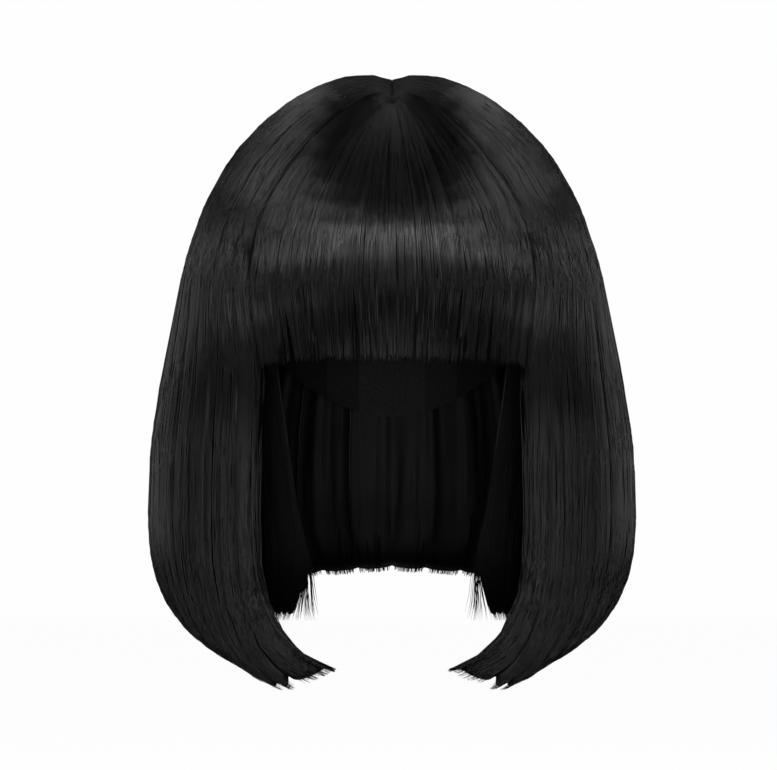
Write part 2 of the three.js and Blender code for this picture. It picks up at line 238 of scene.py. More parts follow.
class HairForm:
    """The outer form of the hair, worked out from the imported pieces' boxes and the tables above."""

    crest_inset = 0.22 * MM
    widest_share = 217.5 / 305.5
    back_share = 250 / 305.5
    tip_notch = 0.7 * MM
    hair_wall = 12 * MM
    tip_wall = 3.5 * MM
    curl_sharpness = 1.25
    turning_levels = (0.05, 0.45)

    def __init__(self) -> None:
        """Read the wig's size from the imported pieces."""
        side_low, side_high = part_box("side_right")
        self.top = side_high[2]
        self.half_width = side_high[0] + self.crest_inset
        self.front_depth = -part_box("fringe")[0][1]
        self.back_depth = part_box("back")[1][1] + self.crest_inset
        self.front_drop = self.top - side_low[2] + self.tip_notch
        self.widest_drop = self.front_drop * self.widest_share
        self.back_drop = self.front_drop * self.back_share
        self.section = columns_of(SECTIONS, np.linspace(0, 1, len(SECTIONS)))
        self.hem = columns_of(HEM, [row.angle for row in HEM])

    def crown_point(self, angle: np.ndarray, level: np.ndarray) -> np.ndarray:
        """Return points above the widest level, on half-ellipses that grow out of the parting."""
        sine, cosine = np.sin(np.radians(angle)), np.cos(np.radians(angle))
        at = {name: curve(level) for name, curve in self.section.items()}
        in_front = cosine > 0
        depth = np.where(in_front, self.front_depth * at["front"], self.back_depth * at["back"])
        end_drop = np.where(in_front, at["front_drop"], at["back_drop"])
        drop = self.widest_drop * (end_drop * cosine**2 + at["side_drop"] * sine**2)
        return np.stack([self.half_width * at["side"] * sine, -depth * cosine, self.top - drop], axis=-1)

    def curl_point(self, angle: np.ndarray, share: np.ndarray) -> np.ndarray:
        """Return points below the widest level, where each strand turns in along part of an ellipse."""
        start = self.crown_point(angle, np.ones_like(angle))
        turn = np.abs(angle)
        at = {name: curve(turn) for name, curve in self.hem.items()}
        reach = np.where(at["depth"] > 0, self.front_depth, self.back_depth) * at["depth"]
        fall = self.back_drop + (self.front_drop - self.back_drop) * at["fall"]
        tip = np.stack([np.sign(angle) * self.half_width * at["side"], -reach, self.top - fall], axis=-1)
        bend = np.radians(at["curl"])
        inward = ((1 - np.cos(bend * share)) / (1 - np.cos(bend))) ** self.curl_sharpness
        down = np.sin(bend * share) / np.sin(bend)
        shares = np.stack([inward, inward, down], axis=-1)
        return start + (tip - start) * shares

    def point(self, angle: np.ndarray, level: np.ndarray) -> np.ndarray:
        """Return points on the outer form.

        Args:
            angle: Degrees round the wig; past 180 they come round from the other side.
            level: 0 at the parting, 1 at the widest, 2 at the tips.

        Returns:
            An array of the same shape with a last axis of x, y and z.
        """
        angle, level = np.broadcast_arrays(np.asarray(angle, float), np.asarray(level, float))
        turned = np.where(angle > 180, angle - 360, angle)
        above = self.crown_point(turned, np.clip(level, 0, 1))
        below = self.curl_point(turned, np.clip(level - 1, 0, None))
        return np.where(level[..., None] <= 1, above, below)

    def inward(self, angle: np.ndarray, level: np.ndarray) -> np.ndarray:
        """Return the way into the hair: straight down at the parting, square to the surface further out."""
        small = 0.01
        further, nearer = np.minimum(level + small, 2), np.maximum(level - small, 0)
        along = self.point(angle, further) - self.point(angle, nearer)
        round_it = self.point(angle + small, level) - self.point(angle - small, level)
        square = unit(np.cross(round_it, along))
        share = smooth_step(level, *self.turning_levels)[..., None]
        return unit(np.array([0.0, 0.0, -1.0]) * (1 - share) + square * share)

    def wall(self, level: np.ndarray) -> np.ndarray:
        """Return how thick the hair is at these levels."""
        above = self.hair_wall * self.section["wall"](np.clip(level, 0, 1))
        share = np.clip(level - 1, 0, 1)
        return above * (1 - share) + self.tip_wall * share

    def level_at_drop(self, angle_at: Curve, drop: np.ndarray) -> np.ndarray:
        """Find the level where the hair has dropped this far below its top, along angle_at(level)."""
        above, below = np.zeros_like(drop), np.ones_like(drop)
        for _ in range(36):
            middle = (above + below) / 2
            is_above = self.top - self.crown_point(angle_at(middle), middle)[..., 2] < drop
            above = np.where(is_above, middle, above)
            below = np.where(is_above, below, middle)
        return above


class Grooves:
    """The sunk lines between locks, shallow ones scattered over them, and the locks' own rounded backs."""

    full_lock = 20 * MM
    seam_depth = 2.8 * MM
    seam_width = 2.0 * MM
    seam_start = 0.1
    deepest = 3.2 * MM
    fade_levels = 0.3

    def __init__(
        self,
        locks: Sequence[float],
        span: float,
        seed: int,
        fine_count: int,
        seams: Sequence[int] = (),
        swell: float = 0.09 * MM,
        rounding: float = 1.4 * MM,
    ) -> None:
        """Scatter the fine grooves.

        Args:
            locks: The lock edges, as shares of the panel's width.
            span: The panel's width at its widest.
            seed: What the scattered grooves are drawn from.
            fine_count: How many fine grooves there are.
            seams: Which of the lock edges lie along the seam between the fringe and the sides.
            swell: How far the slow waves of the surface sink.
            rounding: How far a wide lock's back has fallen away at its edges.
        """
        self.rounding = rounding
        rng = np.random.default_rng(seed)
        self.locks = np.asarray(locks, float)
        main = len(locks)
        scattered = (np.arange(fine_count) + rng.uniform(0, 1, fine_count)) / fine_count
        self.place = np.concatenate([self.locks, scattered])
        self.span = span
        self.swell = swell
        count = len(self.place)
        self.depth = np.concatenate([rng.uniform(1.6, 2.4, main), rng.uniform(0.2, 0.8, fine_count)]) * MM
        widths = [rng.uniform(1.2, 2.2, main), rng.uniform(0.5, 1.1, fine_count)]
        self.width = np.concatenate(widths) * MM / span
        self.start = np.concatenate([rng.uniform(0.1, 0.35, main), rng.uniform(-0.2, 1.1, fine_count)])
        self.length = np.concatenate([np.full(main, 3.0), rng.uniform(0.5, 1.6, fine_count)])
        self.depth[list(seams)] = self.seam_depth
        self.width[list(seams)] = self.seam_width / span
        self.start[list(seams)] = self.seam_start
        self.drift = rng.uniform(0.3, 1.4, count) * MM / span
        self.phase = rng.uniform(0, 2 * math.pi, count)
        self.swell_across = rng.uniform(span / (16 * MM), span / (5 * MM), 9) * 2 * math.pi
        self.swell_along = rng.uniform(-5, 5, 9)
        self.swell_phase = rng.uniform(0, 2 * math.pi, 9)

    def depth_at(self, across: np.ndarray, level: np.ndarray) -> np.ndarray:
        """Return how far the surface is sunk at these places."""
        sunk = np.zeros(np.broadcast(across, level).shape)
        for i in range(len(self.place)):
            centre = self.place[i] + self.drift[i] * np.sin(2.2 * level + self.phase[i])
            shown = smooth_step(level, self.start[i], self.start[i] + self.fade_levels)
            end = self.start[i] + self.length[i]
            shown = shown * (1 - smooth_step(level, end - self.fade_levels, end))
            sunk = sunk + self.depth[i] * shown * np.exp(-(((across - centre) / self.width[i]) ** 2))
        sunk = sunk + self.lock_backs(across) * smooth_step(level, 0.3, 1.4)
        for wide, long, phase in zip(self.swell_across, self.swell_along, self.swell_phase, strict=True):
            sunk = sunk + self.swell * (1 + np.sin(wide * across + long * level + phase)) / 3
        return np.minimum(sunk, self.deepest)

    def lock_backs(self, across: np.ndarray) -> np.ndarray:
        """Return how far a lock's rounded back has fallen away towards its edges."""
        lock = np.clip(np.searchsorted(self.locks, across, side="right") - 1, 0, len(self.locks) - 2)
        low, high = self.locks[lock], self.locks[lock + 1]
        fullness = np.minimum((high - low) * self.span / self.full_lock, 1)
        return self.rounding * fullness * ((across - low) / (high - low) * 2 - 1) ** 2


def place_in_lock(locks: Sequence[float], across: np.ndarray) -> np.ndarray:
    """Return -1 and 1 at a lock's edges and 0 at its middle; the first is longest at its free edge."""
    edges = np.asarray(locks, float)
    lock = np.clip(np.searchsorted(edges, across, side="right") - 1, 0, len(edges) - 2)
    share = np.clip((across - edges[lock]) / (edges[lock + 1] - edges[lock]), 0, 1)
    return np.where(lock == 0, share, share * 2 - 1)


def gap_shift(gaps: Sequence[Gap], span: float, across: np.ndarray, above_hem: np.ndarray) -> np.ndarray:
    """Return how far strands part sideways beside the gaps in a hem.

    Args:
        gaps: The gaps.
        span: The panel's width, which makes shares of lengths.
        across: Where the strands lie.
        above_hem: How far each point lies above the hem.

    Returns:
        The sideways shift, as a share of the width.
    """
    shift = np.zeros(np.broadcast(across, above_hem).shape)
    for gap in gaps:
        away = (across - gap.place) * span
        opened = np.clip(1 - above_hem / (gap.depth_mm * MM), 0, 1)
        push = np.sign(away) * gap.width_mm / 2 * MM * np.exp(-np.abs(away) / (2.5 * gap.width_mm * MM))
        shift = shift + push * opened / span
    return shift


class Panel:
    """One piece of hair, mapped from a square: across runs round the wig and along runs down the strands."""

    node = "panel"
    span = 0.19
    hem_relief = 1.0
    hem_levels = (1.3, 1.9)

    def __init__(self, form: HairForm) -> None:
        """Keep the hair's form."""
        self.form = form

    def angle_at(self, across: np.ndarray, level: np.ndarray) -> np.ndarray:
        """Return the angle round the wig."""
        raise NotImplementedError

    def level_at(self, across: np.ndarray, along: np.ndarray) -> np.ndarray:
        """Return the level."""
        raise NotImplementedError

    def surface(self, across: np.ndarray, along: np.ndarray, depth: np.ndarray) -> np.ndarray:
        """Return points at a depth below the outer form."""
        level = self.level_at(across, along)
        angle = self.angle_at(across, level)
        return self.form.point(angle, level) + self.form.inward(angle, level) * np.asarray(depth)[..., None]

    def relief(self, across: np.ndarray, along: np.ndarray) -> np.ndarray:
        """Return how far the grooves sink the surface."""
        level = self.level_at(across, along)
        faded = 1 - (1 - self.hem_relief) * smooth_step(level, *self.hem_levels)
        shown = self.form.section["groove"](np.clip(level, 0, 1))
        return self.grooves.depth_at(across, level) * shown * faded

    def wall(self, across: np.ndarray, along: np.ndarray) -> np.ndarray:
        """Return how thick the hair is."""
        return self.form.wall(self.level_at(across, along))

    def outward(self, across: np.ndarray, along: np.ndarray) -> np.ndarray:
        """Return the way out of the hair."""
        level = self.level_at(across, along)
        return -self.form.inward(self.angle_at(across, level), level)


class HangingPanel(Panel):
    """Hair that falls from the parting to the curled tips, between two angles."""

    widest_along = 0.7
    seam_gap = 0.4

    def level_at(self, across: np.ndarray, along: np.ndarray) -> np.ndarray:
        """Spend most of the way above the widest level, which is the longer stretch."""
        return np.interp(along, [0, self.widest_along, 1], [0, 1, 2]) + 0 * across


class SidePanel(HangingPanel):
    """The hair at one side, from the edge beside the face to the seam behind the ear."""

    seam_angle = 118.0
    span = 0.21

    def __init__(self, form: HairForm, is_right: bool) -> None:
        """Make the left or the right side."""
        super().__init__(form)
        self.sign = 1 if is_right else -1
        self.node = "side_right" if is_right else "side_left"
        seed = 11 if is_right else 7
        self.grooves = Grooves(SIDE_LOCKS, self.span, seed, fine_count=46, seams=(0,), rounding=2.3 * MM)

    def angle_at(self, across: np.ndarray, level: np.ndarray) -> np.ndarray:
        """Spread the strands between the front edge and the seam."""
        edge = self.form.section["edge"](np.clip(level, 0, 1)) + self.seam_gap
        return self.sign * (edge + (self.seam_angle - self.seam_gap - edge) * across)


class BackPanel(HangingPanel):
    """The hair behind, from seam to seam."""

    node = "back"
    span = 0.25
    hem_relief = 0.3

    def __init__(self, form: HairForm) -> None:
        """Make the grooves."""
        super().__init__(form)
        self.grooves = Grooves(BACK_LOCKS, self.span, seed=23, fine_count=52)

    def angle_at(self, across: np.ndarray, level: np.ndarray) -> np.ndarray:
        """Spread the strands between the two seams."""
        start = SidePanel.seam_angle + self.seam_gap
        return start + (360 - 2 * start) * across + 0 * level


class FringePanel(Panel):
    """The blunt fringe, from the front end of the parting to brow height."""

    node = "fringe"
    span = 0.15
    drop_share = 142.5 / 305.5
    corner_drop = 4.5 * MM

    def __init__(self, form: HairForm) -> None:
        """Make the grooves."""
        super().__init__(form)
        seams = (0, len(FRINGE_LOCKS) - 1)
        self.grooves = Grooves(FRINGE_LOCKS, self.span, seed=5, fine_count=40, seams=seams, swell=0.035 * MM)

    def angle_at(self, across: np.ndarray, level: np.ndarray) -> np.ndarray:
        """Spread the strands between the two side pieces."""
        return (2 * across - 1) * (self.form.section["edge"](np.clip(level, 0, 1)) - 0.4)

    def level_at(self, across: np.ndarray, along: np.ndarray) -> np.ndarray:
        """End at the hem, whose corners turn down."""
        across, along = np.broadcast_arrays(np.asarray(across, float), np.asarray(along, float))
        samples = np.linspace(-0.02, 1.02, 60)
        drop = self.form.front_drop * self.drop_share + self.corner_drop * (2 * samples - 1) ** 4
        hem = self.form.level_at_drop(lambda level: self.angle_at(samples, level), drop)
        return np.interp(across, samples, hem) * along


class InnerPanel(Panel):
    """An inner side layer, which hangs from the cap behind the front edge."""

    span = 0.12
    front_angle = 47.0
    back_angle = 124.0
    layer_wall = 3 * MM

    def __init__(self, form: HairForm, is_right: bool) -> None:
        """Read the layer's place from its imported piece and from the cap's."""
        super().__init__(form)
        self.sign = 1 if is_right else -1
        self.node = "inner_right" if is_right else "inner_left"
        low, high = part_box(self.node)
        self.top, self.bottom = high[2], low[2]
        cap_low, cap_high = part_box("cap")
        self.half_width = cap_high[0] + 0.8 * MM + self.layer_wall
        self.half_length = (cap_high[1] - cap_low[1]) / 2 + 1.1 * MM + self.layer_wall
        self.inner = columns_of(INNER_SECTIONS, np.linspace(0, 1, len(INNER_SECTIONS)))
        self.grooves = Grooves((0, 0.2, 0.4, 0.6, 0.8, 1), self.span, seed=31, fine_count=16)

    def level_at(self, across: np.ndarray, along: np.ndarray) -> np.ndarray:
        """Count the levels from the top of the layer."""
        return along + 0 * across

    def angle_at(self, across: np.ndarray, level: np.ndarray) -> np.ndarray:
        """Spread the strands from the front edge, which draws back at the hem."""
        start = self.front_angle + self.inner["edge"](np.clip(level, 0, 1))
        return self.sign * (start + (self.back_angle - start) * across)

    def surface(self, across: np.ndarray, along: np.ndarray, depth: np.ndarray) -> np.ndarray:
        """Return points at a depth below the layer's outside."""
        level = self.level_at(across, along)
        angle = np.radians(self.angle_at(across, level))
        wide = self.half_width * self.inner["side"](level) - depth
        long = self.half_length * self.inner["depth"](level) - depth
        height = self.top + (self.bottom - self.top) * self.inner["drop"](level)
        return np.stack([wide * np.sin(angle), -long * np.cos(angle), height], axis=-1)

    def relief(self, across: np.ndarray, along: np.ndarray) -> np.ndarray:
        """Return how far the grooves sink the surface."""
        return self.grooves.depth_at(across, along * 2) * 0.5

    def wall(self, across: np.ndarray, along: np.ndarray) -> np.ndarray:
        """Return the layer's thickness."""
        return np.full(np.broadcast(across, along).shape, self.layer_wall)

    def outward(self, across: np.ndarray, along: np.ndarray) -> np.ndarray:
        """Return the way out from the middle of the wig."""
        angle = np.radians(self.angle_at(across, self.level_at(across, along)))
        return np.stack([np.sin(angle), -np.cos(angle), 0 * angle], axis=-1)


INNER_GROOVE = 1.6 * MM
HEM_THINNING = 0.8
HEM_START = 0.86
THINNEST = 0.6 * MM


def build_body(name: str, panel: Panel, columns: int, rows: int, end: Curve, sink: float) -> bpy.types.Object:
    """Build the closed body under a panel's strands.

    Args:
        name: The piece's name.
        panel: The panel that it fills.
        columns: Faces across.
        rows: Faces along.
        end: Where the body ends along the strands, as a function of across.
        sink: How far it lies below the strands.

    Returns:
        The new object.
    """
    bm = bmesh.new()
    bm.loops.layers.uv.new(UV_NAME)
    bmesh.ops.create_grid(bm, x_segments=columns, y_segments=rows, size=0.5, calc_uvs=True)
    border = [edge for edge in bm.edges if edge.is_boundary]
    copied = bmesh.ops.duplicate(bm, geom=[*bm.verts, *bm.edges, *bm.faces])
    inner = [item for item in copied["geom"] if isinstance(item, bmesh.types.BMVert)]
    inner_verts = set(inner)
    bmesh.ops.translate(bm, verts=inner, vec=(0, 0, -1))
    inner_border = [e for e in copied["geom"] if isinstance(e, bmesh.types.BMEdge) and e.is_boundary]
    bmesh.ops.bridge_loops(bm, edges=border + inner_border)
    flat = np.array([vert.co[:] for vert in bm.verts])
    across = np.clip(flat[:, 0] + 0.5, 0, 1)
    along = np.clip(flat[:, 1] + 0.5, 0, 1) * end(across)
    outer_depth = panel.relief(across, along) + sink
    inner_relief = np.minimum(panel.relief(1 - across, along), INNER_GROOVE)
    thinned = 1 - HEM_THINNING * smooth_step(flat[:, 1] + 0.5, HEM_START, 1.0)
    inner_depth = np.maximum((panel.wall(across, along) - inner_relief) * thinned, outer_depth + THINNEST)
    depth = np.where(flat[:, 2] < -0.5, inner_depth, outer_depth)
    for vert, place in zip(bm.verts, panel.surface(across, along, depth), strict=True):
        vert.co = place
    bmesh.ops.recalc_face_normals(bm, faces=bm.faces)
    for face in bm.faces:
        face.smooth = True
        face.material_index = int(any(vert in inner_verts for vert in face.verts))
    mesh = bpy.data.meshes.new(name)
    bm.to_mesh(mesh)
    bm.free()
    body = bpy.data.objects.new(name, mesh)
    bpy.context.scene.collection.objects.link(body)
    return body


@dataclass(frozen=True)
class StrandPlan:
    """How a panel's strands are laid: their number, size, raggedness and the gaps in their hem."""

    count: int
    stations: tuple[float, ...]
    seed: int
    half_width_mm: float = 0.29
    half_thick_mm: float = 0.19
    depth_low_mm: float = -0.3
    depth_high_mm: float = 0.4
    wander_mm: float = 0.35
    ragged: float = 0.012
    edge_share: float = 0.0
    deep_share: float = 0.05
    notch: float = 0.0
    gather: float = 0.2
    front_bias: float = 1.0
    length_mm: float = 330
    is_rooted: bool = True
    wisp_share: float = 0.0
    notch_fade: float = 0.0
    notch_range: tuple[float, float] = (0.18, 0.4)
    tip_thinning: float = 0.6
    seam_reach: tuple[float, float] = (0.0, 0.0)
    gaps: tuple[Gap, ...] = ()
    locks: tuple[float, ...] = (0, 1)

    def hem_notch(self, across: np.ndarray) -> np.ndarray:
        """Return how much shorter the hair is beside the tip of its lock, less so away from the free edge."""
        kept = 1 - self.notch_fade * smooth_step(across, *self.notch_range)
        return self.notch * kept * place_in_lock(self.locks, across) ** 2


HANGING_STATIONS = (
    *(0, 0.002, 0.02, 0.05, 0.085, 0.125, 0.17, 0.22, 0.275, 0.335, 0.4),
    *(0.475, 0.56, 0.645, 0.715, 0.775, 0.83, 0.885, 0.94, 0.997, 1),
)
FRINGE_STATIONS = (
    *(0, 0.003, 0.025, 0.06, 0.105, 0.16, 0.215, 0.27, 0.325, 0.38),
    *(0.44, 0.5, 0.56, 0.62, 0.685, 0.76, 0.86, 0.996, 1),
)
EVEN_STATIONS = (0, 0.004, *(step / 10 for step in range(1, 10)), 0.996, 1)


class StrandField:
    """Fine tapered strands over a panel, joined in one mesh."""

    sides = 3
    slack_share = 0.27
    edge_scatter = (-0.002, 0.004)
    shortest = 0.75
    longest = 1.015
    wander_waves = (29.0, 61.0)
    wander_from = (0.02, 0.4)
    gather_from = (0.82, 1.0)
    spread_from = (0.5, 0.8)
    thin_from = (0.87, 1.0)
    bent_from = (0.6, 1.15)
    edge_spill = 0.006
    seam_edge = 0.06
    root_share = 0.02

    def __init__(self, panel: Panel, plan: StrandPlan) -> None:
        """Keep the panel and the plan."""
        self.panel = panel
        self.plan = plan

    def paths(self) -> tuple[np.ndarray, np.ndarray]:
        """Work out where every strand runs.

        Returns:
            The strands' points, and the way out of the hair at each of them.
        """
        plan, panel = self.plan, self.panel
        rng = np.random.default_rng(plan.seed)
        start = rng.uniform(0, 1, plan.count) ** plan.front_bias
        depth = rng.uniform(plan.depth_low_mm, plan.depth_high_mm, plan.count) * MM
        at_edge = rng.uniform(0, 1, plan.count) < plan.edge_share
        deep = rng.uniform(0, 1, plan.count) < plan.deep_share
        start = np.where(at_edge, rng.uniform(*self.edge_scatter, plan.count), start)[:, None]
        share = self.shares(rng)
        end = 1 + rng.normal(0, plan.ragged, plan.count) - np.abs(rng.normal(0, plan.ragged, plan.count))
        end = end[:, None] - plan.hem_notch(start)
        along = share * np.clip(end, self.shortest, self.longest)
        waves = np.array(self.wander_waves)[:, None, None]
        phases = rng.uniform(0, 0.9, (2, plan.count, 1)) + waves * start
        wander = np.sin(3.1 * share + phases[0]) + 0.5 * np.sin(7.3 * share + phases[1])
        across = start + wander * smooth_step(share, *self.wander_from) * plan.wander_mm * MM / panel.span
        across = across + self.gathered(start) * smooth_step(share, *self.gather_from)
        across = across + self.seam_spread(start) * smooth_step(share, *self.spread_from)
        above_hem = (1 - along) * plan.length_mm * MM
        across = across + gap_shift(plan.gaps, panel.span, start, above_hem)
        low_reach, high_reach = plan.seam_reach
        across = np.clip(across, -self.edge_spill - low_reach, 1 + self.edge_spill + high_reach)
        wall = panel.wall(across, along)
        inside = rng.uniform(0.05, 0.95, plan.count)[:, None] * wall
        lying = panel.relief(across, along) + depth[:, None]
        lying = np.where((at_edge | deep)[:, None], inside, lying)
        points = panel.surface(across, along, lying)
        if plan.is_rooted:
            rooted = 1 - smooth_step(share, 0.0, self.root_share)
            points[..., 0] *= 1 - rooted * rng.uniform(0.3, 0.95, (plan.count, 1))
            points[..., 2] -= rooted * rng.uniform(0.2, 0.7, (plan.count, 1)) * MM
        bent = smooth_step(share, *self.bent_from) * rng.uniform(0, plan.wisp_share, (plan.count, 1))
        points[..., 0] *= 1 - bent * at_edge[:, None]
        return points, panel.outward(across, along)

    def shares(self, rng: np.random.Generator) -> np.ndarray:
        """Return each strand's own stations, moved a little so that no bends line up across the hair."""
        stations = np.asarray(self.plan.stations, float)
        moved = np.tile(stations, (self.plan.count, 1))
        slack = np.minimum(np.diff(stations)[1:], np.diff(stations)[:-1])[1:]
        own = rng.uniform(-self.slack_share, self.slack_share, (self.plan.count, len(slack)))
        moved[:, 2:-1] += own * slack
        return moved

    def seam_spread(self, start: np.ndarray) -> np.ndarray:
        """Return how far the strands beside a seam lean over it, so that it stays closed down to the hem."""
        low, high = self.plan.seam_reach
        over_high = high * smooth_step(start, 1 - self.seam_edge, 1.0)
        return over_high - low * (1 - smooth_step(start, 0.0, self.seam_edge))

    def gathered(self, start: np.ndarray) -> np.ndarray:
        """Return how far each strand moves towards the middle of its lock at the tips."""
        locks = np.asarray(self.plan.locks)
        lock = np.clip(np.searchsorted(locks, start, side="right") - 1, 0, len(locks) - 2)
        middle = (locks[lock] + locks[lock + 1]) / 2
        middle = np.where(lock == 0, 0, np.where(lock == len(locks) - 2, 1, middle))
        return (middle - start) * self.plan.gather

    def build(self, name: str) -> bpy.types.Object:
        """Build the joined mesh.

        Args:
            name: The piece's name.

        Returns:
            The new object.
        """
        points, outward = self.paths()
        rng = np.random.default_rng(self.plan.seed + 1)
        count, rings = points.shape[:2]
        steps = unit(np.diff(points, axis=1))
        tangent = unit(np.concatenate([steps[:, :1], steps[:, 1:] + steps[:, :-1], steps[:, -1:]], axis=1))
        beside = unit(np.cross(tangent, outward))
        facing = unit(np.cross(beside, tangent))
        share = np.asarray(self.plan.stations)[None, :, None]
        thinned = 1 - self.plan.tip_thinning * smooth_step(share, *self.thin_from)
        taper = thinned * (0.5 + 0.5 * smooth_step(share, 0.0, 0.1))
        size = rng.uniform(0.7, 1.25, (count, 1, 1)) * taper
        turns = 2 * math.pi * np.arange(self.sides) / self.sides
        ring = [
            points
            + beside * math.sin(turn) * size * self.plan.half_width_mm * MM
            + facing * math.cos(turn) * size * self.plan.half_thick_mm * MM
            for turn in turns
        ]
        verts = np.stack(ring, axis=2).reshape(-1, 3)
        return self.joined(name, verts, count, rings, rng)

    def joined(
        self, name: str, verts: np.ndarray, count: int, rings: int, rng: np.random.Generator
    ) -> bpy.types.Object:
        """Join the rings of every strand into one mesh with a UV map.

        Args:
            name: The piece's name.
            verts: The rings' points, strand by strand.
            count: How many strands there are.
            rings: How many rings each one has.
            rng: What each strand's place in the UV map is drawn from.

        Returns:
            The new object.
        """
        sides = self.sides
        first = (np.arange(count) * rings * sides)[:, None, None]
        ring = (np.arange(rings - 1) * sides)[None, :, None]
        side = np.arange(sides)[None, None, :]
        here = first + ring + side
        beside = first + ring + (side + 1) % sides
        quads = np.stack([here, beside, beside + sides, here + sides], axis=-1)
        quads[:, :, -1] = np.roll(quads[:, :, -1], -1, axis=-1)
        quads = quads.reshape(-1, 4)
        caps = np.arange(sides)[None, :]
        roots = first[:, 0] + caps[:, ::-1]
        tips = first[:, 0] + (rings - 1) * sides + caps
        mesh = bpy.data.meshes.new(name)
        mesh.from_pydata(verts.tolist(), [], roots.tolist() + tips.tolist() + quads.tolist())
        mesh.polygons.foreach_set("use_smooth", np.arange(len(mesh.polygons)) >= 2 * count)
        layer = mesh.uv_layers.new(name=UV_NAME)
        corner = np.empty(len(mesh.loops), np.int32)
        mesh.loops.foreach_get("vertex_index", corner)
        strand = corner // (rings * sides)
        place = (corner % (rings * sides)) // sides / (rings - 1)
        own = rng.uniform(0, 1, count)[strand]
        layer.data.foreach_set("uv", np.stack([own, place], axis=-1).ravel())
        strands = bpy.data.objects.new(name, mesh)
        bpy.context.scene.collection.objects.link(strands)
        return strands


def linear_colour(sheen: str) -> tuple[float, float, float, float]:
    """Turn an sRGB hex value into a linear colour with full alpha."""
    parts = [int(sheen[i : i + 2], 16) / 255 for i in (1, 3, 5)]
    linear = [part / 12.92 if part <= 0.04045 else ((part + 0.055) / 1.055) ** 2.4 for part in parts]
    return (*linear, 1.0)


def add_node(
    tree: bpy.types.NodeTree, kind: str, links: dict[str, object] | None = None, **settings: object
) -> bpy.types.Node:
    """Add a node with its settings and links.

    Args:
        tree: The material's or the world's node tree.
        kind: The node's type.
        links: What each input is linked from, or its value.
        settings: The node's own settings.

    Returns:
        The new node.
    """
    node = tree.nodes.new(kind)
    for name, value in settings.items():
        setattr(node, name, value)
    for name, value in (links or {}).items():
        if isinstance(value, bpy.types.NodeSocket):
            tree.links.new(value, node.inputs[name])
        else:
            node.inputs[name].default_value = value
    return node


@dataclass(frozen=True)
class SyntheticFibre:
    """Straight black modacrylic fibre, drawn and heat-set: a clean gloss along each strand."""

    name: str = "modacrylic_fibre_black"
    dark: str = "#040405"
    light: str = "#0c0b0b"
    roughness: float = 0.2
    rougher: float = 0.28
    ior: float = 1.5
    specular: float = 0.5
    root_roughness: float = 0.8
    root_range: tuple[float, float] = (0.12, 0.3)
    strand_mm: float = 0.35
    streak_mm: float = 60
    bump_mm: float = 0.12

    def material(self, span: float, length: float) -> bpy.types.Material:
        """Make the material for a piece of this width and length."""
        made = bpy.data.materials.new(self.name)
        made.use_nodes = True
        tree = made.node_tree
        shader = tree.nodes["Principled BSDF"]
        place = add_node(tree, "ShaderNodeUVMap", uv_map=UV_NAME)
        across = span / (self.strand_mm * MM)
        along = length / (self.streak_mm * MM)
        stretched = add_node(
            tree, "ShaderNodeMapping", {"Vector": place.outputs["UV"], "Scale": (across, along, 1)}
        )
        noise = add_node(
            tree, "ShaderNodeTexNoise", {"Vector": stretched.outputs["Vector"], "Scale": 1.0, "Detail": 2.0}
        )
        tint = add_node(tree, "ShaderNodeValToRGB", {"Fac": noise.outputs["Fac"]})
        tint.color_ramp.elements[0].position = 0.3
        tint.color_ramp.elements[0].color = linear_colour(self.dark)
        tint.color_ramp.elements[1].position = 0.75
        tint.color_ramp.elements[1].color = linear_colour(self.light)
        gloss = add_node(
            tree,
            "ShaderNodeMapRange",
            {"Value": noise.outputs["Fac"], "To Min": self.roughness, "To Max": self.rougher},
        )
        parted = add_node(tree, "ShaderNodeSeparateXYZ", {"Vector": place.outputs["UV"]})
        from_root = add_node(
            tree,
            "ShaderNodeMapRange",
            {
                "Value": parted.outputs["Y"],
                "From Min": self.root_range[0],
                "From Max": self.root_range[1],
                "To Min": self.root_roughness,
                "To Max": gloss.outputs["Result"],
            },
        )
        bump = add_node(
            tree,
            "ShaderNodeBump",
            {"Height": noise.outputs["Fac"], "Distance": self.bump_mm * MM, "Strength": 1.0},
        )
        tree.links.new(tint.outputs["Color"], shader.inputs["Base Color"])
        tree.links.new(from_root.outputs["Result"], shader.inputs["Roughness"])
        tree.links.new(bump.outputs["Normal"], shader.inputs["Normal"])
        shader.inputs["IOR"].default_value = self.ior
        shader.inputs["Specular IOR Level"].default_value = self.specular
        return made


@dataclass(frozen=True)
class StretchNet:
    """Black nylon stretch net with sewn wefts: matt, with a fine open weave."""

    name: str = "nylon_stretch_net_black"
    thread: str = "#1d1c1d"
    hole: str = "#060606"
    mesh_mm: float = 1.6
    roughness: float = 0.75

    def material(self) -> bpy.types.Material:
        """Make the material, whose weave is set by the object's own coordinates."""
        made = bpy.data.materials.new(self.name)
        made.use_nodes = True
        tree = made.node_tree
        shader = tree.nodes["Principled BSDF"]
        place = add_node(tree, "ShaderNodeTexCoord")
        cells = add_node(
            tree,
            "ShaderNodeTexVoronoi",
            {"Vector": place.outputs["Object"], "Scale": 1 / (self.mesh_mm * MM)},
            feature="DISTANCE_TO_EDGE",
        )
        tint = add_node(tree, "ShaderNodeValToRGB", {"Fac": cells.outputs["Distance"]})
        tint.color_ramp.elements[0].position = 0.08
        tint.color_ramp.elements[0].color = linear_colour(self.thread)
        tint.color_ramp.elements[1].position = 0.2
        tint.color_ramp.elements[1].color = linear_colour(self.hole)
        bump = add_node(
            tree,
            "ShaderNodeBump",
            {"Height": cells.outputs["Distance"], "Distance": 0.2 * MM, "Strength": 0.6},
            invert=True,
        )
        tree.links.new(tint.outputs["Color"], shader.inputs["Base Color"])
        tree.links.new(bump.outputs["Normal"], shader.inputs["Normal"])
        shader.inputs["Roughness"].default_value = self.roughness
        return made


